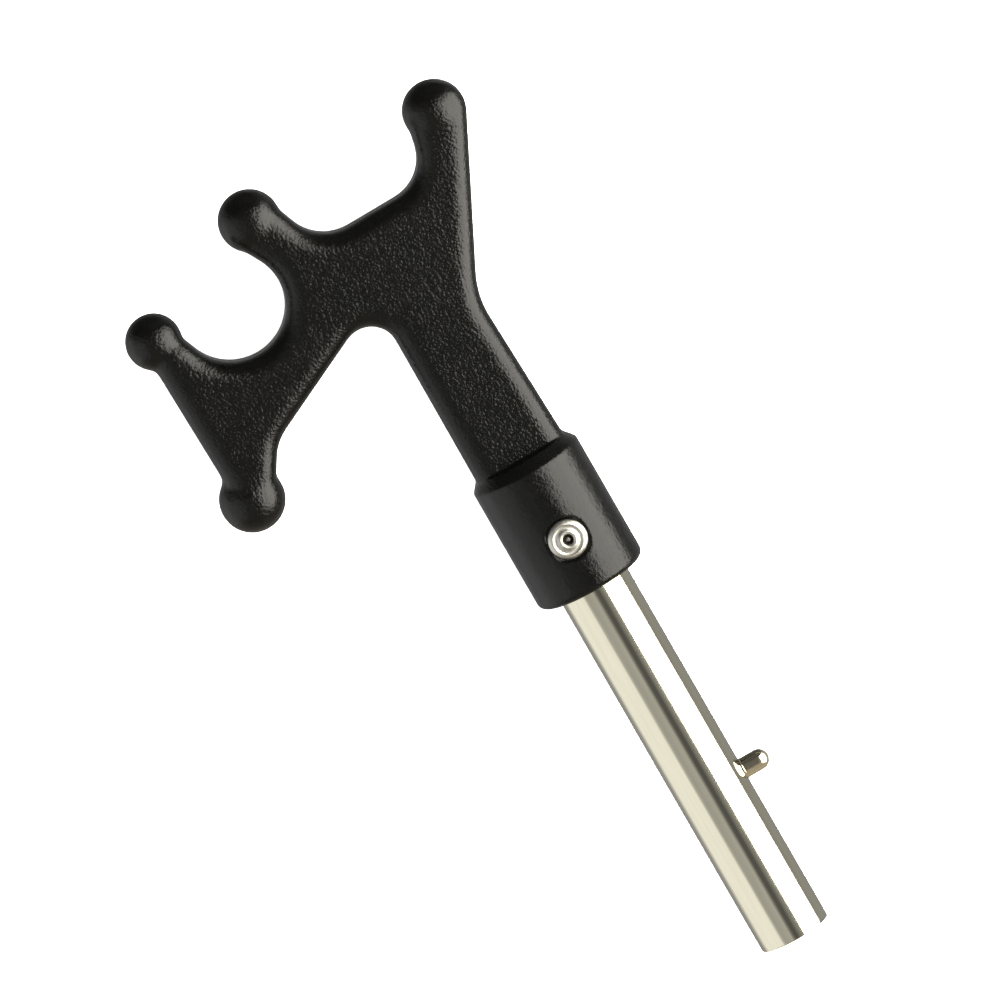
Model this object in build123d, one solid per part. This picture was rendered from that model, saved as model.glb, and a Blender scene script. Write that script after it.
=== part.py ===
from build123d import *
import math
import os

# Boat hook head on a quick-release spigot: a moulded hook with four ball-ended prongs,
# a metal tube riveted into its collar, and a sprung button that locks the tube in a pole.
# Millimetres. The origin is the centre of the tube's free end. +X leaves that end along the
# tube, the hook lies towards -X, +Y is the button's side and +Z is square to the flat hook.

# Tube
TUBE_R = 11.1
TUBE_WALL = 1.47
TUBE_EDGE = 0.3
TUBE_INNER_R = TUBE_R - TUBE_WALL

# Collar, which is part of the hook's moulding
COLLAR_R = 17.5
COLLAR_MOUTH_X = -122.0
COLLAR_SHOULDER_X = -162.5
COLLAR_ROUND = 2.5
SHOULDER_ROUND = 1.2
CONE_LENGTH = 3.5
CONE_SMALL_R = 14.6
SOCKET_CLEARANCE = 0.05
SOCKET_R = TUBE_R + SOCKET_CLEARANCE
SOCKET_DEPTH = 38.0
SOCKET_LEAD_IN = 0.6
TUBE_LENGTH = 159.7

# Flat hook: half its thickness at the neck and at the prong tips, and its rounded edges
NECK_HALF_THICK = 9.2
TIP_HALF_THICK = 7.8
NECK_X = -160.0
TIP_X = -278.0
EDGE_ROUND = 6.0
BALL_BLEND = 3.0
WEB_CENTRE = (-215.0, -15.0)

# The hook's outline: circles (x, y, radius) joined by their common tangents, counter-clockwise
# round the hook. A positive radius is a rounded end, a negative one a hollow, and 0 a corner.
HOOK_OUTLINE = [
    (NECK_X, 14.7, 0),
    (-207.8, 41.2, -28.2),
    (-268.0, 29.5, 9.1),
    (-264.4, 6.0, -13.0),
    (-265.2, -10.0, -14.0),
    (-267.3, -34.6, 8.4),
    (-247.7, -51.8, -16.1),
    (-243.0, -74.1, 6.4),
    (-198.0, -72.6, 6.7),
    (-194.6, -49.2, -15.0),
    (-214.7, -23.0, -8.3),
    (NECK_X, -15.0, 0),
]

# Balls at the prong ends: x, y, radius
PRONG_BALLS = [
    (-268.2, 28.9, 9.5),
    (-267.2, -34.4, 9.5),
    (-250.1, -76.7, 8.6),
    (-194.5, -74.8, 10.0),
]

# Blind rivets through the collar and the tube wall, one on each flat side
RIVET_X = -139.7
RIVET_SHANK_R = 3.2
RIVET_HOLE_R = 3.25
RIVET_SEAT_Z = 16.0
RIVET_SEAT_R = 6.8
RIVET_BORE_R = 1.68

# Rivet head, heights above its seat: edge, outer bead, pressed groove, inner ring round the bore
HEAD_R = 6.0
HEAD_UNDER_R = 5.9
HEAD_EDGE = 0.35
HEAD_CORNER = (5.85, 0.7)
BEAD_CREST = (5.25, 1.3)
GROOVE_OUT = (4.65, 1.55)
GROOVE_BOTTOM = (3.75, 1.1)
GROOVE_IN = (2.9, 1.55)
RING_CREST = (2.3, 1.74)
RING_BORE = 1.4

# Rivet bulb inside the tube, and the mandrel that formed it
RIVET_TAIL_Z = 5.0
BULB_R = 4.3
BULB_TOP_Z = 8.4
BULB_BOTTOM_Z = 6.2
BULB_NECK = 0.5
BULB_END_R = 2.6
MANDREL_R = 1.6
MANDREL_BREAK_Z = 15.4
MANDREL_TIP_R = 0.65
MANDREL_TIP_Z = 16.9
MANDREL_HEAD_R = 2.3
MANDREL_HEAD_LENGTH = 1.7
MANDREL_HEAD_CHAMFER = 0.9

# Lock button, on an axis along +Y
BUTTON_X = -50.8
BUTTON_R = 3.175
BUTTON_GUIDE_R = 3.35
BUTTON_HOLE_R = 3.5
BUTTON_GUIDE_TOP_Y = 11.25
BUTTON_TIP_Y = 19.5
TENON_R = 1.5
TENON_HEAD_R = 2.2
TENON_HEAD_THICK = 0.7
TENON_HEAD_TAPER = 0.3

# V spring: a strip bent double inside the tube, its front leg under the button
STRIP_THICK = 0.5
STRIP_WIDTH = 6.4
STRIP_OUTER_Y = 9.0
STRIP_END_X = -45.0
STRIP_BEND_X = -62.0
STRIP_BEND_R = 14.0
SPRING_APEX_X = -90.0
SPRING_APEX_Y = 3.0
SPRING_WAIST_X = -83.0
SPRING_APEX_ROUND = 2.9
TENON_CLEARANCE = 0.05
STRIP_HOLE_R = TENON_R + TENON_CLEARANCE

# Shaping: how far a blank runs past the part, the sizes of the cutters, and when lengths are equal
SPARE = 1.0
SLAB_HALF_WIDTH = 110.0
SEAT_CUT_HEIGHT = 10.0
SAME = 0.001


def tangent_outline(stops):
    """The closed face round a chain of circles and corners, joined by common tangents."""
    spans = []
    for i, (x0, y0, r0) in enumerate(stops):
        x1, y1, r1 = stops[(i + 1) % len(stops)]
        heading = math.atan2(y1 - y0, x1 - x0)
        normal = heading + math.acos((r1 - r0) / math.hypot(x1 - x0, y1 - y0))
        nx = math.cos(normal)
        ny = math.sin(normal)
        spans.append(((x0 - r0 * nx, y0 - r0 * ny), (x1 - r1 * nx, y1 - r1 * ny), normal))
    edges = []
    for i, (x, y, r) in enumerate(stops):
        arrive = spans[i - 1]
        leave = spans[i]
        if r:
            turn = (leave[2] - arrive[2]) % math.tau
            if r < 0:
                turn -= math.tau
            middle = arrive[2] + turn / 2
            top = (x - r * math.cos(middle), y - r * math.sin(middle))
            edges.append(ThreePointArc(arrive[1], top, leave[0]))
        edges.append(Line(leave[0], leave[1]))
    return make_face(Wire(edges))


def turned(profile, axis, plane=Plane.XY):
    """A solid of revolution from a closed half profile, drawn in a plane that holds the axis."""
    return revolve(plane * make_face(profile), axis)


def hook_plate():
    """The flat hook with its four prongs, thinner towards the tips, all edges rounded."""
    blank = extrude(tangent_outline(HOOK_OUTLINE), NECK_HALF_THICK + SPARE, both=True)
    taper = Polyline(
        (NECK_X + SPARE, NECK_HALF_THICK),
        (TIP_X - SPARE, TIP_HALF_THICK),
        (TIP_X - SPARE, -TIP_HALF_THICK),
        (NECK_X + SPARE, -NECK_HALF_THICK),
        close=True,
    )
    slab = extrude(Plane.XZ * make_face(taper), SLAB_HALF_WIDTH, both=True)
    plate = blank & slab
    rims = [e for e in plate.edges() if abs(e.center().Z) > SPARE and e.center().X < NECK_X - SAME]
    return fillet(rims, EDGE_ROUND)


def on_sphere(edge, ball):
    """Whether an edge lies on a ball, judged at its ends and its middle."""
    x, y, r = ball
    return all(
        abs((edge.position_at(t) - Vector(x, y, 0)).length - r) < SAME for t in (0.0, 0.5, 1.0)
    )


def prong_ball(x, y, r):
    """A sphere turned so that its seam faces away from the web, where no arm cuts it."""
    outward = math.atan2(y - WEB_CENTRE[1], x - WEB_CENTRE[0])
    return Pos(x, y, 0) * Rot(0, 0, math.degrees(outward)) * Sphere(r)


def hook_with_balls():
    """The plate with a sphere on every prong, blended into its arm."""
    hook = hook_plate()
    for x, y, r in PRONG_BALLS:
        hook += prong_ball(x, y, r)
    joints = [e for e in hook.edges() if any(on_sphere(e, ball) for ball in PRONG_BALLS)]
    return fillet(joints, BALL_BLEND)


def rim_edges(solid, x):
    """The collar's outer circle at one place along it."""
    circles = solid.edges().filter_by(GeomType.CIRCLE)
    return [e for e in circles if abs(e.radius - COLLAR_R) < SAME and abs(e.arc_center.X - x) < SAME]


def collar_blank():
    """The round collar with its conical shoulder and the blind socket for the tube."""
    back_x = COLLAR_SHOULDER_X - CONE_LENGTH
    floor_x = COLLAR_MOUTH_X - SOCKET_DEPTH
    half = Polyline(
        (back_x, 0),
        (back_x, CONE_SMALL_R),
        (COLLAR_SHOULDER_X, COLLAR_R),
        (COLLAR_MOUTH_X, COLLAR_R),
        (COLLAR_MOUTH_X, SOCKET_R + SOCKET_LEAD_IN),
        (COLLAR_MOUTH_X - SOCKET_LEAD_IN, SOCKET_R),
        (floor_x, SOCKET_R),
        (floor_x, 0),
        close=True,
    )
    blank = turned(half, Axis.X)
    blank = fillet(rim_edges(blank, COLLAR_MOUTH_X), COLLAR_ROUND)
    return fillet(rim_edges(blank, COLLAR_SHOULDER_X), SHOULDER_ROUND)


def socket():
    """The space the tube fills in the hook."""
    floor_x = COLLAR_MOUTH_X - SOCKET_DEPTH
    return Pos(floor_x + SOCKET_DEPTH / 2, 0, 0) * Rot(0, 90, 0) * Cylinder(SOCKET_R, SOCKET_DEPTH)


def hook_head():
    """The moulding: hook and collar in one, with a seat and a hole for each rivet."""
    head = (hook_with_balls() - socket()) + collar_blank()
    for side in (1, -1):
        seat_middle = side * (RIVET_SEAT_Z + SEAT_CUT_HEIGHT / 2)
        head -= Pos(RIVET_X, 0, seat_middle) * Cylinder(RIVET_SEAT_R, SEAT_CUT_HEIGHT)
        head -= Pos(RIVET_X, 0, side * COLLAR_R / 2) * Cylinder(RIVET_HOLE_R, COLLAR_R)
    return head


def shaft_tube():
    """The spigot tube, with a hole for each rivet and one for the button."""
    half = Polyline(
        (0, TUBE_INNER_R + TUBE_EDGE),
        (0, TUBE_R - TUBE_EDGE),
        (-TUBE_EDGE, TUBE_R),
        (TUBE_EDGE - TUBE_LENGTH, TUBE_R),
        (-TUBE_LENGTH, TUBE_R - TUBE_EDGE),
        (-TUBE_LENGTH, TUBE_INNER_R),
        (-TUBE_EDGE, TUBE_INNER_R),
        close=True,
    )
    tube = turned(half, Axis.X)
    tube -= Pos(RIVET_X, 0, 0) * Cylinder(RIVET_HOLE_R, 3 * TUBE_R)
    tube -= Pos(BUTTON_X, TUBE_R, 0) * Rot(90, 0, 0) * Cylinder(BUTTON_HOLE_R, TUBE_R)
    return tube


def above_seat(point):
    """A point of the rivet head's profile, with its height measured from the tube's axis."""
    r, height = point
    return (r, RIVET_SEAT_Z + height)


def rivet_body():
    """A set blind rivet: head with a groove pressed in it, shank, and bulb inside the tube."""
    stem = Polyline(
        (RIVET_BORE_R, RIVET_SEAT_Z + RING_BORE),
        (RIVET_BORE_R, RIVET_TAIL_Z),
        (BULB_END_R, RIVET_TAIL_Z),
        (BULB_R, BULB_BOTTOM_Z),
        (BULB_R, BULB_TOP_Z),
        (RIVET_SHANK_R, BULB_TOP_Z + BULB_NECK),
        (RIVET_SHANK_R, RIVET_SEAT_Z),
        (HEAD_UNDER_R, RIVET_SEAT_Z),
    )
    corner = above_seat(HEAD_CORNER)
    groove_out = above_seat(GROOVE_OUT)
    groove_in = above_seat(GROOVE_IN)
    head = [
        ThreePointArc((HEAD_UNDER_R, RIVET_SEAT_Z), above_seat((HEAD_R, HEAD_EDGE)), corner),
        ThreePointArc(corner, above_seat(BEAD_CREST), groove_out),
        ThreePointArc(groove_out, above_seat(GROOVE_BOTTOM), groove_in),
        ThreePointArc(groove_in, above_seat(RING_CREST), (RIVET_BORE_R, RIVET_SEAT_Z + RING_BORE)),
    ]
    return turned([*stem.edges(), *head], Axis.Z, Plane.XZ)


def rivet_mandrel():
    """The pulling stem left in the rivet: its head in the bulb, its broken end in the bore."""
    low = RIVET_TAIL_Z - MANDREL_HEAD_LENGTH
    half = Polyline(
        (0, low),
        (MANDREL_HEAD_R - MANDREL_HEAD_CHAMFER, low),
        (MANDREL_HEAD_R, low + MANDREL_HEAD_CHAMFER),
        (MANDREL_HEAD_R, RIVET_TAIL_Z),
        (MANDREL_R, RIVET_TAIL_Z),
        (MANDREL_R, MANDREL_BREAK_Z),
        (MANDREL_TIP_R, MANDREL_TIP_Z),
        (0, MANDREL_TIP_Z),
        close=True,
    )
    return turned(half, Axis.Z, Plane.XZ)


def on_side(solid, side):
    """A rivet piece moved to its place, on the +Z side or turned over to the -Z side."""
    return Pos(RIVET_X, 0, 0) * Rot(0 if side > 0 else 180, 0, 0) * solid


def lock_button():
    """The turned button: dome, round side, wider guide in the tube wall, and riveted tenon."""
    tenon_y = STRIP_OUTER_Y - STRIP_THICK
    dome_y = BUTTON_TIP_Y - BUTTON_R
    side = Polyline(
        (0, BUTTON_TIP_Y),
        (0, tenon_y - TENON_HEAD_THICK),
        (TENON_HEAD_R - TENON_HEAD_TAPER, tenon_y - TENON_HEAD_THICK),
        (TENON_HEAD_R, tenon_y),
        (TENON_R, tenon_y),
        (TENON_R, STRIP_OUTER_Y),
        (BUTTON_GUIDE_R, STRIP_OUTER_Y),
        (BUTTON_GUIDE_R, BUTTON_GUIDE_TOP_Y),
        (BUTTON_R, BUTTON_GUIDE_TOP_Y),
        (BUTTON_R, dome_y),
    )
    dome = CenterArc((0, dome_y), BUTTON_R, 0, 90)
    return Pos(BUTTON_X, 0, 0) * turned([*side.edges(), dome], Axis.Y)


def button_spring():
    """The V spring: both legs lie along the tube wall and meet in a round bend deeper inside."""
    leg_y = STRIP_OUTER_Y - STRIP_THICK / 2
    path = FilletPolyline(
        (STRIP_END_X, leg_y),
        (STRIP_BEND_X, leg_y),
        (SPRING_WAIST_X, SPRING_APEX_Y),
        (SPRING_APEX_X, SPRING_APEX_Y),
        (SPRING_APEX_X, -SPRING_APEX_Y),
        (SPRING_WAIST_X, -SPRING_APEX_Y),
        (STRIP_BEND_X, -leg_y),
        (STRIP_END_X, -leg_y),
        radius=[STRIP_BEND_R] * 2 + [SPRING_APEX_ROUND] * 2 + [STRIP_BEND_R] * 2,
    )
    section = Plane(path @ 0, z_dir=path % 0) * Rectangle(STRIP_WIDTH, STRIP_THICK)
    tenon_hole = Pos(BUTTON_X, STRIP_OUTER_Y, 0) * Rot(90, 0, 0) * Cylinder(STRIP_HOLE_R, 4 * STRIP_THICK)
    return sweep(section, path) - tenon_hole


os.makedirs("parts", exist_ok=True)
export_step(hook_head(), "parts/hook_head.step")
export_step(shaft_tube(), "parts/shaft_tube.step")
export_step(on_side(rivet_body(), 1), "parts/front_rivet.step")
export_step(on_side(rivet_mandrel(), 1), "parts/front_rivet_mandrel.step")
export_step(on_side(rivet_body(), -1), "parts/back_rivet.step")
export_step(on_side(rivet_mandrel(), -1), "parts/back_rivet_mandrel.step")
export_step(lock_button(), "parts/lock_button.step")
export_step(button_spring(), "parts/button_spring.step")
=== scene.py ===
import math

import bmesh
import bpy
import numpy as np
from mathutils import Matrix, Vector


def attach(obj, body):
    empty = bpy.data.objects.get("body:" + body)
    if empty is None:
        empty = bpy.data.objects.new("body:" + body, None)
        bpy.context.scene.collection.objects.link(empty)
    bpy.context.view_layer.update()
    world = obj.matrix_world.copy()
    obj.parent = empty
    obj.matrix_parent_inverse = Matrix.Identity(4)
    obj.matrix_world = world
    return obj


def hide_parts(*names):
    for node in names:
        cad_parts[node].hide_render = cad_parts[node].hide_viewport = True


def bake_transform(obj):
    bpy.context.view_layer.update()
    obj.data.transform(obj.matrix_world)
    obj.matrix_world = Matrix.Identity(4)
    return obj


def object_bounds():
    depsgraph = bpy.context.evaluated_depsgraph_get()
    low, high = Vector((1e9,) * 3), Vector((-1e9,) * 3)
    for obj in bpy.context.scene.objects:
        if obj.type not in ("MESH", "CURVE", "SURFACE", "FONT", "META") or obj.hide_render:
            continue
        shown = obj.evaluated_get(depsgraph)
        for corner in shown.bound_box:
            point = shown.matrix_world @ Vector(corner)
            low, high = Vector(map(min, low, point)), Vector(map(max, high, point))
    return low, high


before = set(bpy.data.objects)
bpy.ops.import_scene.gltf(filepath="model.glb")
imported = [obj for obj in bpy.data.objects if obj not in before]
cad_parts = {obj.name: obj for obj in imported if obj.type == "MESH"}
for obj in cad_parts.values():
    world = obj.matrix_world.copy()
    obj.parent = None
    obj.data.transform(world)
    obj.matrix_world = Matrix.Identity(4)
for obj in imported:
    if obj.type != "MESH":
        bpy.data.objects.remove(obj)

CAD_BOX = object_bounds()
MM = 0.001

# View: the camera looks down on the flat hook, leans a little towards its prongs, and is turned
# so that the tube runs to the lower right of the picture. The picture is FRAME_WIDTH across at
# FOCUS_HEIGHT above the tube's axis. Lengths in metres.
VIEW_LEAN = math.radians(10)
VIEW_TURN = math.radians(60)
FRAME_WIDTH = 0.2956
FOCUS_HEIGHT = 0.024
TUBE_END_RIGHT = 0.0874
TUBE_END_BELOW = 0.1283
LENS = 1200
SENSOR = 36

# Sizes shared with the CAD part, in millimetres
TUBE_R = 11.1
TUBE_BORE_R = 9.63
TUBE_EDGE = 0.3
TUBE_LENGTH = 159.7
COLLAR_SHOULDER_X = -162.5
PRONG_BALLS = [
    (-268.2, 28.9, 9.5),
    (-267.2, -34.4, 9.5),
    (-250.1, -76.7, 8.6),
    (-194.5, -74.8, 10.0),
]

# Rivet, as (radius, height above the tube's axis), and its head as (radius, height above its seat)
RIVET_X = -139.7
RIVET_HOLE_R = 3.25
RIVET_SEAT_Z = 16.0
RIVET_SHANK_R = 3.2
RIVET_BORE_R = 1.68
RIVET_TAIL_Z = 5
RIVET_BULB = [(2.6, RIVET_TAIL_Z), (4.3, 6.2), (4.3, 8.4), (RIVET_SHANK_R, 8.9)]
HEAD_UNDER = (5.9, 0)
HEAD_EDGE = (6.0, 0.35)
HEAD_CORNER = (5.85, 0.7)
BEAD_CREST = (5.25, 1.3)
GROOVE_OUT = (4.65, 1.55)
GROOVE_BOTTOM = (3.75, 1.1)
GROOVE_IN = (2.9, 1.55)
RING_CREST = (2.3, 1.74)
RING_BORE = (RIVET_BORE_R, 1.4)

# Mandrel: its head in the bulb, its stem and its broken end
MANDREL_HEAD = [(0, 3.3), (1.4, 3.3), (2.3, 4.2), (2.3, RIVET_TAIL_Z)]
MANDREL_STEM = [(1.6, RIVET_TAIL_Z), (1.6, 15.35)]
MANDREL_BREAK = [(1.25, 15.5), (0.8, 16.1), (0.65, 16.75), (0.3, 16.9), (0, 16.8)]

# Button: tenon and guide as (radius, height above the tube's axis), round side and dome
BUTTON_X = -50.8
BUTTON_HOLE_R = 3.5
BUTTON_R = 3.175
BUTTON_TIP = 19.5
BUTTON_TENON = [(0, 7.8), (1.9, 7.8), (2.2, 8.5), (1.5, 8.5), (1.5, 9)]
BUTTON_GUIDE = [(3.35, 9), (3.35, 11.15), (BUTTON_R, 11.3)]
DOME_STEPS = 23

# Surface meshes: voxels in millimetres, rounds of smoothing, and each round's share of the way
HEAD_VOXEL = 0.42
HEAD_SMOOTHING = 60
HOOK_SHARE = 0.3
JOINT_SHARE = 0.45
COLLAR_SHARE = 0.02
JOINT_LENGTH = 9
SPRING_VOXEL = 0.16
SPRING_SMOOTHING = 3
LATHE_STEPS = 128
TUBE_RINGS = 90


# ---------------------------------------------------------------- camera and light


def view_axes():
    """Picture right, picture up and the direction to the camera, in the row frame."""
    lean, turn = VIEW_LEAN, VIEW_TURN
    along = Vector((math.cos(lean), 0, math.sin(lean)))
    across = Vector((0, 1, 0))
    right = math.cos(turn) * along + math.sin(turn) * across
    up = -math.sin(turn) * along + math.cos(turn) * across
    return right, up, Vector((-math.sin(lean), 0, math.cos(lean)))


def link(thing):
    bpy.context.scene.collection.objects.link(thing)
    return thing


def make_camera():
    right, up, towards = view_axes()
    data = bpy.data.cameras.new("camera")
    data.lens = LENS
    data.sensor_width = SENSOR
    data.clip_start = 0.1
    data.clip_end = 50
    camera = link(bpy.data.objects.new("camera", data))
    centre = TUBE_END_BELOW * up - TUBE_END_RIGHT * right
    place = centre + towards * (FRAME_WIDTH * LENS / SENSOR + FOCUS_HEIGHT)
    turn = Matrix((right, up, towards)).transposed().to_4x4()
    camera.matrix_world = Matrix.Translation(place) @ turn
    bpy.context.scene.camera = camera


def round_tube(angle, distance, x):
    """A point at an angle round the tube's axis, from straight up towards +Y."""
    return Vector((x, distance * math.sin(angle), distance * math.cos(angle)))


def soft_box(name, angle, span, length, x, distance, colour, radiance):
    """A rectangular light along the tube, covering a span of angles round its axis."""
    width = 2 * distance * math.tan(math.radians(span) / 2)
    data = bpy.data.lights.new(name, "AREA")
    data.shape = "RECTANGLE"
    data.size = length
    data.size_y = width
    data.color = colour
    data.energy = radiance * math.pi * length * width
    light = link(bpy.data.objects.new(name, data))
    place = round_tube(math.radians(angle), distance, x)
    back = round_tube(math.radians(angle), 1, 0)
    along = Vector((1, 0, 0))
    turn = Matrix((along, back.cross(along), back)).transposed().to_4x4()
    light.matrix_world = Matrix.Translation(place) @ turn
    light.visible_camera = False
    return light


# The studio as the tube sees it: degrees round the tube's axis from straight up towards +Y, and
# the brightness there. A pale wall and card on the -Y side, a dark gap overhead, dark below.
SURROUNDINGS = [
    (-180, 0.3), (-135, 0.5), (-122, 1.1), (-116, 1.6), (-52, 1.6), (-45, 0.76), (-38, 0.64),
    (-16, 0.74), (-12, 0.42), (-6, 0.16), (4, 0.15), (8, 0.27), (16, 0.42), (22, 0.55),
    (30, 0.3), (120, 0.5), (180, 0.3),
]
END_WALLS = (0.1, 0.1, 0.1), (0.5, 0.46, 0.38)
HORIZON_LINE = (0.9, 0.9, 0.9)
OPEN_LIGHT = (1.3, 1.3, 1.3)


def make_world():
    """The surroundings, darker towards both ends of the tube, with a pale line at the horizon.
    Only reflections show them: the light on the floor and the wall behind are plain white."""
    world = bpy.data.worlds.new("studio")
    world.use_nodes = True
    made = Nodes(world.node_tree)
    made.nodes.clear()
    where = made.nodes.new("ShaderNodeTexCoord").outputs["Generated"]
    x, y, z = (made.part_of(where, axis) for axis in "XYZ")
    turn = made.spread(made.math("ARCTAN2", y, z), -math.pi, math.pi, 0, 1)
    ramp = made.nodes.new("ShaderNodeValToRGB")
    made.links.new(turn, ramp.inputs[0])
    stops = ramp.color_ramp.elements
    for degrees, level in SURROUNDINGS[1:-1]:
        stops.new((degrees + 180) / 360).color = (level, level, level, 1)
    for stop, (degrees, level) in zip((stops[0], stops[-1]), (SURROUNDINGS[0], SURROUNDINGS[-1])):
        stop.color = (level, level, level, 1)
    ends = made.spread(made.math("ABSOLUTE", x, 0), 0.3, 0.75, 0, 1, smooth=True)
    end_walls = made.mixed(made.spread(x, -0.5, 0.5, 0, 1), *END_WALLS)
    dimmed = made.mixed(ends, ramp.outputs[0], end_walls)
    horizon = made.spread(made.math("ABSOLUTE", z, 0), 0.02, 0.05, 1, 0, smooth=True)
    horizon = made.math("MULTIPLY", horizon, made.math("GREATER_THAN", y, 0))
    around = made.mixed(horizon, dimmed, HORIZON_LINE)
    reflected = made.nodes.new("ShaderNodeLightPath").outputs["Is Glossy Ray"]
    back = made.nodes.new("ShaderNodeBackground")
    made.links.new(made.mixed(reflected, OPEN_LIGHT, around), back.inputs[0])
    made.links.new(back.outputs[0], made.nodes.new("ShaderNodeOutputWorld").inputs[0])
    bpy.context.scene.world = world


def make_floor():
    """A plain pale floor. It isn't seen in reflections, as if the object stood well above it."""
    bpy.ops.mesh.primitive_plane_add(size=8)
    floor = bpy.context.object
    floor.name = "floor"
    floor.location.z = CAD_BOX[0].z - 0.0002
    floor.visible_glossy = False
    floor.data.materials.append(Surface("pale_floor", (0.8, 0.8, 0.8), 0.9, 0).material)


# ---------------------------------------------------------------- materials


class Nodes:
    """Helpers for building a node tree."""

    def __init__(self, tree):
        self.nodes = tree.nodes
        self.links = tree.links

    def spread(self, value, low, high, to_low, to_high, smooth=False):
        node = self.nodes.new("ShaderNodeMapRange")
        node.interpolation_type = "SMOOTHSTEP" if smooth else "LINEAR"
        ends = {"From Min": low, "From Max": high, "To Min": to_low, "To Max": to_high}
        for name, number in ends.items():
            node.inputs[name].default_value = number
        self.links.new(value, node.inputs["Value"])
        return node.outputs["Result"]

    def math(self, operation, a, b):
        node = self.nodes.new("ShaderNodeMath")
        node.operation = operation
        for socket, value in zip(node.inputs, (a, b)):
            if isinstance(value, (int, float)):
                socket.default_value = value
            else:
                self.links.new(value, socket)
        return node.outputs[0]

    def part_of(self, output, axis):
        """One component of a vector."""
        node = self.nodes.new("ShaderNodeSeparateXYZ")
        self.links.new(output, node.inputs[0])
        return node.outputs[axis]

    def mixed(self, share, first, second):
        """A colour between two, each a socket or three numbers."""
        node = self.nodes.new("ShaderNodeMix")
        node.data_type = "RGBA"
        self.links.new(share, node.inputs["Factor"])
        for socket, colour in ((node.inputs[6], first), (node.inputs[7], second)):
            if isinstance(colour, tuple):
                socket.default_value = (*colour, 1)
            else:
                self.links.new(colour, socket)
        return node.outputs[2]


class Surface(Nodes):
    """A Principled material built from procedural nodes."""

    def __init__(self, name, colour, rough, metal):
        self.material = bpy.data.materials.new(name)
        self.material.use_nodes = True
        super().__init__(self.material.node_tree)
        self.shader = self.nodes["Principled BSDF"]
        self.shader.inputs["Base Color"].default_value = (*colour, 1)
        self.shader.inputs["Roughness"].default_value = rough
        self.shader.inputs["Metallic"].default_value = metal
        self.where = self.nodes.new("ShaderNodeTexCoord").outputs["Object"]

    def stretched(self, scale):
        """Object coordinates multiplied along each axis, so that 1 is one feature long."""
        node = self.nodes.new("ShaderNodeVectorMath")
        node.operation = "MULTIPLY"
        node.inputs[1].default_value = scale
        self.links.new(self.where, node.inputs[0])
        return node.outputs[0]

    def noise(self, size_mm, detail=3, rough=0.5):
        """Noise with features of that size, or of three sizes along X, Y and Z."""
        sizes = size_mm if hasattr(size_mm, "__len__") else (size_mm,) * 3
        node = self.nodes.new("ShaderNodeTexNoise")
        node.inputs["Scale"].default_value = 1
        node.inputs["Detail"].default_value = detail
        node.inputs["Roughness"].default_value = rough
        self.links.new(self.stretched([1 / (s * MM) for s in sizes]), node.inputs["Vector"])
        return node.outputs["Fac"]

    def pebbles(self, size_mm):
        """Rounded cells of that size, high in the middle."""
        node = self.nodes.new("ShaderNodeTexVoronoi")
        node.feature = "SMOOTH_F1"
        node.inputs["Scale"].default_value = 1
        node.inputs["Smoothness"].default_value = 0.4
        self.links.new(self.stretched([1 / (size_mm * MM)] * 3), node.inputs["Vector"])
        return self.spread(node.outputs["Distance"], 0.05, 0.75, 1, 0)

    def geometry(self, name):
        return self.nodes.new("ShaderNodeNewGeometry").outputs[name]

    def tint(self, value, dark, light):
        self.links.new(self.mixed(value, dark, light), self.shader.inputs["Base Color"])

    def gloss(self, value, low, high):
        self.links.new(self.spread(value, 0.3, 0.7, low, high), self.shader.inputs["Roughness"])

    def relief(self, layers):
        """Bumps laid on each other: height, how many millimetres deep, and how strong."""
        below = None
        for height, depth_mm, strength in layers:
            node = self.nodes.new("ShaderNodeBump")
            node.inputs["Distance"].default_value = depth_mm * MM
            if isinstance(strength, (int, float)):
                node.inputs["Strength"].default_value = strength
            else:
                self.links.new(strength, node.inputs["Strength"])
            self.links.new(height, node.inputs["Height"])
            if below:
                self.links.new(below, node.inputs["Normal"])
            below = node.outputs["Normal"]
        self.links.new(below, self.shader.inputs["Normal"])


def moulding():
    """Black polymer: coarse pebbles on the flat faces, softer ones on edges, balls and collar."""
    made = Surface("black_moulding", (0.0008, 0.0008, 0.0007), 0.18, 0)
    made.shader.inputs["Specular IOR Level"].default_value = 0.18
    level = made.math("ABSOLUTE", made.part_of(made.geometry("Normal"), "Z"), 0)
    flat = made.spread(level, 0.8, 0.98, 0, 1, smooth=True)
    x = made.part_of(made.where, "X")
    cone = (COLLAR_SHOULDER_X - 4) * MM, (COLLAR_SHOULDER_X - 1) * MM
    ahead = made.spread(x, *cone, 1, 0, smooth=True)
    coarse = made.spread(made.math("MULTIPLY", flat, ahead), 0, 1, 0.12, 1)
    made.relief([
        (made.noise(7, 3), 0.5, 0.5),
        (made.noise(1.9, 3, 0.6), 0.2, 0.55),
        (made.pebbles(0.9), 0.1, coarse),
        (made.noise(0.8, 3, 0.6), 0.19, made.spread(coarse, 0, 1, 0.75, 1)),
    ])
    made.gloss(made.noise(2.5, 3), 0.15, 0.23)
    made.tint(made.noise(1.6, 4), (0.0004, 0.0004, 0.0003), (0.0012, 0.0012, 0.001))
    return made.material


def polished_tube_steel():
    """Drawn and polished steel: faint lines along the tube, slight waves in its reflections."""
    made = Surface("polished_steel", (0.5, 0.475, 0.375), 0.07, 1)
    made.relief([
        (made.noise((60, 2.6, 2.6), 2), 0.02, 0.35),
        (made.noise((9, 0.25, 0.25), 2), 0.004, 0.4),
    ])
    made.gloss(made.noise((25, 0.8, 0.8), 4), 0.05, 0.11)
    made.tint(made.noise((18, 1.2, 1.2), 3), (0.47, 0.44, 0.34), (0.53, 0.51, 0.41))
    return made.material


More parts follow.
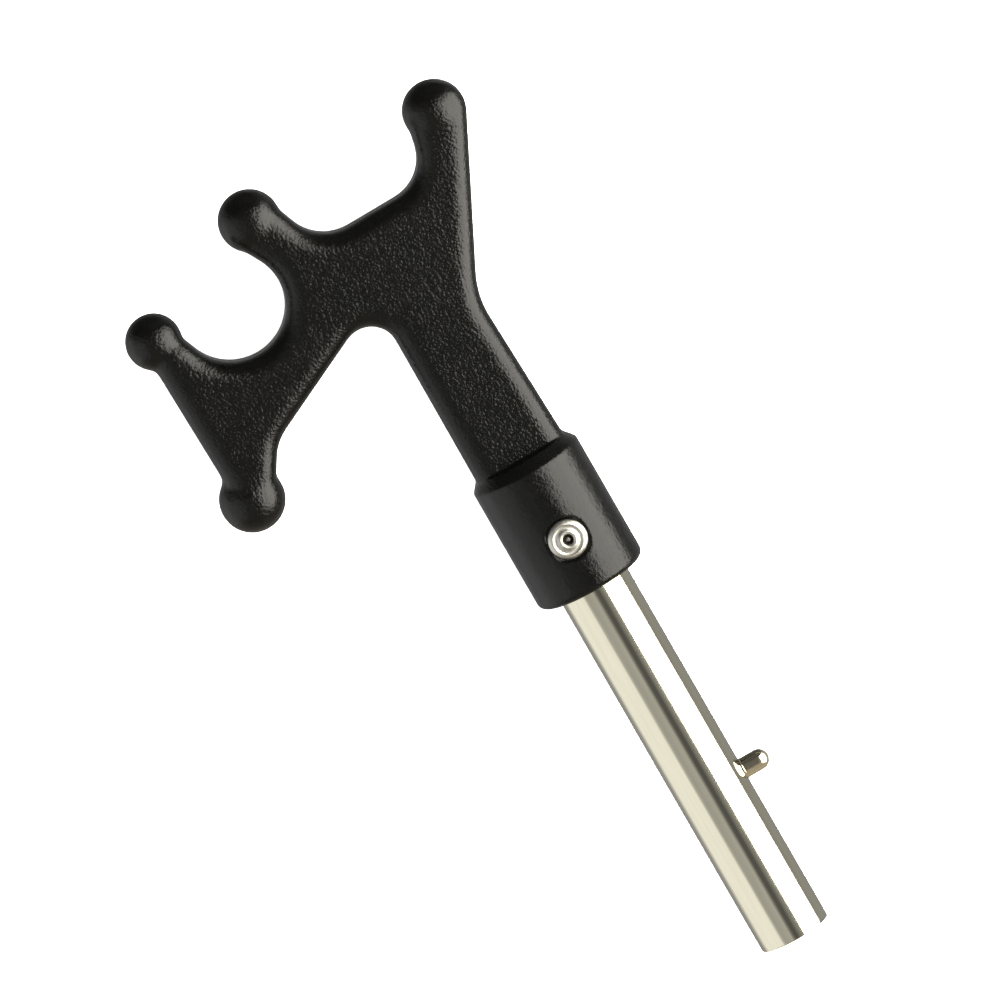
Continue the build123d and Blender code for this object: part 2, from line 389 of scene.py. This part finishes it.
def rivet_aluminium():
    made = Surface("rivet_aluminium", (0.4, 0.39, 0.35), 0.42, 1)
    made.relief([(made.noise(2.2, 2), 0.03, 0.4), (made.noise(0.5, 2), 0.002, 0.25)])
    made.gloss(made.noise(1.1, 3), 0.36, 0.48)
    made.tint(made.noise(0.9, 4), (0.34, 0.33, 0.29), (0.46, 0.45, 0.41))
    return made.material


def mandrel_steel_painted_shade():
    # Steel with a very dark base colour and tint: painted shade for the dark hollow centre of the
    # rivet's head, where the broken end would otherwise shine.
    made = Surface("mandrel_steel_painted_shade", (0.1, 0.09, 0.08), 0.5, 1)
    made.relief([(made.noise(0.35, 4), 0.06, 0.7)])
    made.gloss(made.noise(0.3, 3), 0.4, 0.6)
    made.tint(made.noise(0.5, 4), (0.06, 0.055, 0.05), (0.15, 0.14, 0.13))
    return made.material


def button_steel():
    """Turned steel: fine rings round the pin."""
    made = Surface("turned_steel", (0.66, 0.59, 0.44), 0.12, 1)
    made.relief([(made.noise((8, 0.12, 8), 2), 0.003, 0.4), (made.noise(1.2, 2), 0.008, 0.4)])
    made.gloss(made.noise((6, 0.3, 6), 3), 0.08, 0.16)
    made.tint(made.noise(1.5, 3), (0.6, 0.53, 0.38), (0.72, 0.65, 0.5))
    return made.material


def spring_steel():
    """Rolled strip: lines along its length and a faint blue-brown temper."""
    made = Surface("spring_steel", (0.4, 0.39, 0.36), 0.3, 1)
    made.relief([(made.noise((12, 12, 0.18), 3), 0.01, 0.6)])
    made.gloss(made.noise((8, 8, 0.4), 3), 0.2, 0.38)
    made.tint(made.noise(3, 3), (0.3, 0.27, 0.22), (0.45, 0.44, 0.42))
    return made.material


# ---------------------------------------------------------------- pieces


def finish_piece(piece, material, node, body):
    piece.data.materials.clear()
    piece.data.materials.append(material)
    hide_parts(node)
    if body:
        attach(piece, body)


def applied(piece):
    """The piece's mesh with its modifiers built in."""
    evaluated = piece.evaluated_get(bpy.context.evaluated_depsgraph_get())
    mesh = bpy.data.meshes.new_from_object(evaluated)
    piece.modifiers.clear()
    piece.data = mesh
    return mesh


def skin(name, node, voxel_mm):
    """A new even mesh over a CAD node's surface."""
    piece = link(bpy.data.objects.new(name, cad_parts[node].data.copy()))
    cover = piece.modifiers.new("skin", "REMESH")
    cover.mode = "VOXEL"
    cover.voxel_size = voxel_mm * MM
    applied(piece)
    return piece


def eased(mesh, rounds, share):
    """Moves each point towards its neighbours' mean, by its share, as often as asked."""
    points = np.empty(len(mesh.vertices) * 3)
    mesh.vertices.foreach_get("co", points)
    points = points.reshape(-1, 3)
    ends = np.empty(len(mesh.edges) * 2, int)
    mesh.edges.foreach_get("vertices", ends)
    first, second = ends.reshape(-1, 2).T
    count = len(points)
    degree = np.bincount(first, minlength=count) + np.bincount(second, minlength=count)
    amount = 0.5 * share(points / MM)[:, None]
    for _ in range(rounds):
        total = np.empty_like(points)
        for k in range(3):
            total[:, k] = np.bincount(first, points[second, k], count)
            total[:, k] += np.bincount(second, points[first, k], count)
        points += amount * (total / degree[:, None] - points)
    mesh.vertices.foreach_set("co", points.ravel())
    mesh.update()


def head_share(points):
    """More smoothing where the arms run into their balls, and next to none on the collar."""
    share = np.full(len(points), HOOK_SHARE)
    for x, y, r in PRONG_BALLS:
        outside = np.linalg.norm(points - np.array((x, y, 0)), axis=1) - r
        fading = np.clip((JOINT_LENGTH - outside) / 4, 0, JOINT_SHARE)
        share = np.maximum(share, np.clip(outside, 0, 1) * fading)
    share[points[:, 0] > COLLAR_SHOULDER_X - 6] = COLLAR_SHARE
    return share


def smooth(mesh, angle=None):
    for face in mesh.polygons:
        face.use_smooth = True
    if angle:
        mesh.set_sharp_from_angle(angle=math.radians(angle))


def make_head():
    head = skin("moulded_hook", "hook_head", HEAD_VOXEL)
    eased(head.data, HEAD_SMOOTHING, head_share)
    smooth(head.data)
    finish_piece(head, moulding(), "hook_head", "root")


def arc(start, middle, end, steps=10):
    """Points on the circle through three points, from just after start to end."""
    a, b, c = (complex(*p) for p in (start, middle, end))
    w = (c - a) / (b - a)
    centre = (b - a) * (w - abs(w) ** 2) / (2j * w.imag) + a
    sweep = np.angle((c - centre) / (a - centre))
    through = np.angle((b - centre) / (a - centre))
    if sweep * through < 0 or abs(through) > abs(sweep):
        sweep -= math.copysign(math.tau, sweep)
    turns = [centre + (a - centre) * np.exp(1j * sweep * k / steps) for k in range(1, steps + 1)]
    return [(p.real, p.imag) for p in turns]


def lathe(name, profile, frame_of, closed=True):
    """A turned piece from (radius, height) points, placed by a matrix from the lathe's frame."""
    net = bmesh.new()
    rings = []
    for r, height in profile:
        if r == 0:
            rings.append([net.verts.new((0, 0, height * MM))])
            continue
        ring = []
        for k in range(LATHE_STEPS):
            turn = math.tau * k / LATHE_STEPS
            point = Vector((r * math.cos(turn), r * math.sin(turn), height))
            ring.append(net.verts.new(point * MM))
        rings.append(ring)
    following = rings[1:] + rings[:1] if closed else rings[1:]
    for one, two in zip(rings, following):
        for k in range(LATHE_STEPS):
            here, there = k, k + 1
            corners = [one[here % len(one)], one[there % len(one)]]
            corners += [two[there % len(two)], two[here % len(two)]]
            corners = list(dict.fromkeys(corners))
            if len(corners) > 2:
                net.faces.new(corners)
    bmesh.ops.recalc_face_normals(net, faces=net.faces)
    mesh = bpy.data.meshes.new(name)
    net.to_mesh(mesh)
    net.free()
    mesh.transform(frame_of)
    return link(bpy.data.objects.new(name, mesh))


def tube_profile():
    """Outer wall, rounded rim at the free end, bore and back end."""
    out, bore, edge = TUBE_R, TUBE_BORE_R, TUBE_EDGE
    wall = TUBE_LENGTH - 2 * edge
    steps = [-TUBE_LENGTH + edge + wall * k / TUBE_RINGS for k in range(TUBE_RINGS + 1)]
    rim = arc((out, -edge), (out - edge * 0.3, -edge * 0.3), (out - edge, 0), 4)
    inner_rim = arc((bore + edge, 0), (bore + edge * 0.3, -edge * 0.3), (bore, -edge), 4)
    back = [(bore, -TUBE_LENGTH), (out - edge, -TUBE_LENGTH)]
    outside = [(out, x) for x in steps]
    inside = [(bore, x) for x in steps[-2::-1]]
    return outside + rim + [(bore + edge, 0)] + inner_rim + inside + back


def drill(piece, radius, low, high, frame_of):
    """Cuts a round hole along the lathe frame's height."""
    outline = [(0, low), (radius, low), (radius, high), (0, high)]
    cutter = lathe("drill", outline, frame_of, closed=False)
    cut = piece.modifiers.new("drill", "BOOLEAN")
    cut.object = cutter
    cut.solver = "EXACT"
    applied(piece)
    bpy.data.objects.remove(cutter)


def at(x, turn):
    return Matrix.Translation((x * MM, 0, 0)) @ turn


# Where a turned piece's height points: up, down, towards +Y and along the tube
UP = Matrix.Identity(4)
OVER = Matrix.Rotation(math.pi, 4, "X")
TO_Y = Matrix.Rotation(-math.pi / 2, 4, "X")
ALONG_X = Matrix.Rotation(math.pi / 2, 4, "Y")


def make_tube():
    tube = lathe("polished_tube", tube_profile(), ALONG_X)
    drill(tube, BUTTON_HOLE_R, 5, 15, at(BUTTON_X, TO_Y))
    drill(tube, RIVET_HOLE_R, -15, 15, at(RIVET_X, UP))
    smooth(tube.data, 30)
    finish_piece(tube, polished_tube_steel(), "shaft_tube", "root")


def rivet_profile():
    """Bore, bulb, shank, and the head's edge, outer bead, groove and inner ring."""
    turns = [
        (HEAD_UNDER, HEAD_EDGE, HEAD_CORNER, 6),
        (HEAD_CORNER, BEAD_CREST, GROOVE_OUT, 8),
        (GROOVE_OUT, GROOVE_BOTTOM, GROOVE_IN, 12),
        (GROOVE_IN, RING_CREST, RING_BORE, 10),
    ]
    head = [HEAD_UNDER]
    for start, middle, end, steps in turns:
        head += arc(start, middle, end, steps)
    head = [(r, RIVET_SEAT_Z + height) for r, height in head]
    stem = [(RIVET_BORE_R, RIVET_TAIL_Z), *RIVET_BULB, (RIVET_SHANK_R, RIVET_SEAT_Z)]
    return stem + head


def make_rivets():
    metal, stem = rivet_aluminium(), mandrel_steel_painted_shade()
    mandrel_profile = MANDREL_HEAD + MANDREL_STEM + MANDREL_BREAK
    for side, turn in (("front", UP), ("back", OVER)):
        rivet = lathe(f"{side}_set_rivet", rivet_profile(), at(RIVET_X, turn))
        smooth(rivet.data, 25)
        finish_piece(rivet, metal, f"{side}_rivet", "root")
        mandrel = lathe(f"{side}_broken_mandrel", mandrel_profile, at(RIVET_X, turn), closed=False)
        smooth(mandrel.data, 40)
        finish_piece(mandrel, stem, f"{side}_rivet_mandrel", "root")


def button_profile():
    """Tenon, guide, round side and dome."""
    turns = [math.pi / 2 * k / DOME_STEPS for k in range(DOME_STEPS)]
    dome_z = BUTTON_TIP - BUTTON_R
    dome = [(BUTTON_R * math.cos(t), dome_z + BUTTON_R * math.sin(t)) for t in turns]
    return BUTTON_TENON + BUTTON_GUIDE + dome + [(0, BUTTON_TIP)]


def make_button():
    button = lathe("turned_button", button_profile(), at(BUTTON_X, TO_Y), closed=False)
    smooth(button.data, 20)
    finish_piece(button, button_steel(), "lock_button", "button")


def make_spring():
    """The V spring: an even, smoothed mesh over its CAD node, tied to no body, with its place built
    into its points.
    """
    spring = skin("bent_spring", "button_spring", SPRING_VOXEL)
    eased(spring.data, SPRING_SMOOTHING, lambda points: np.ones(len(points)))
    smooth(spring.data, 50)
    finish_piece(spring, spring_steel(), "button_spring", None)
    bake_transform(spring)


make_camera()
make_world()
make_floor()
soft_box(
    "key", angle=58, span=68, length=1.2, x=0.05, distance=0.7, colour=(1, 0.975, 0.89), radiance=10.8
)
ceiling = soft_box(
    "ceiling", angle=0, span=100, length=2.4, x=-0.15, distance=1.0, colour=(1, 1, 1), radiance=5.0
)
ceiling.visible_glossy = False
make_head()
make_tube()
make_rivets()
make_button()
make_spring()
bpy.context.scene.view_settings.view_transform = "Standard"
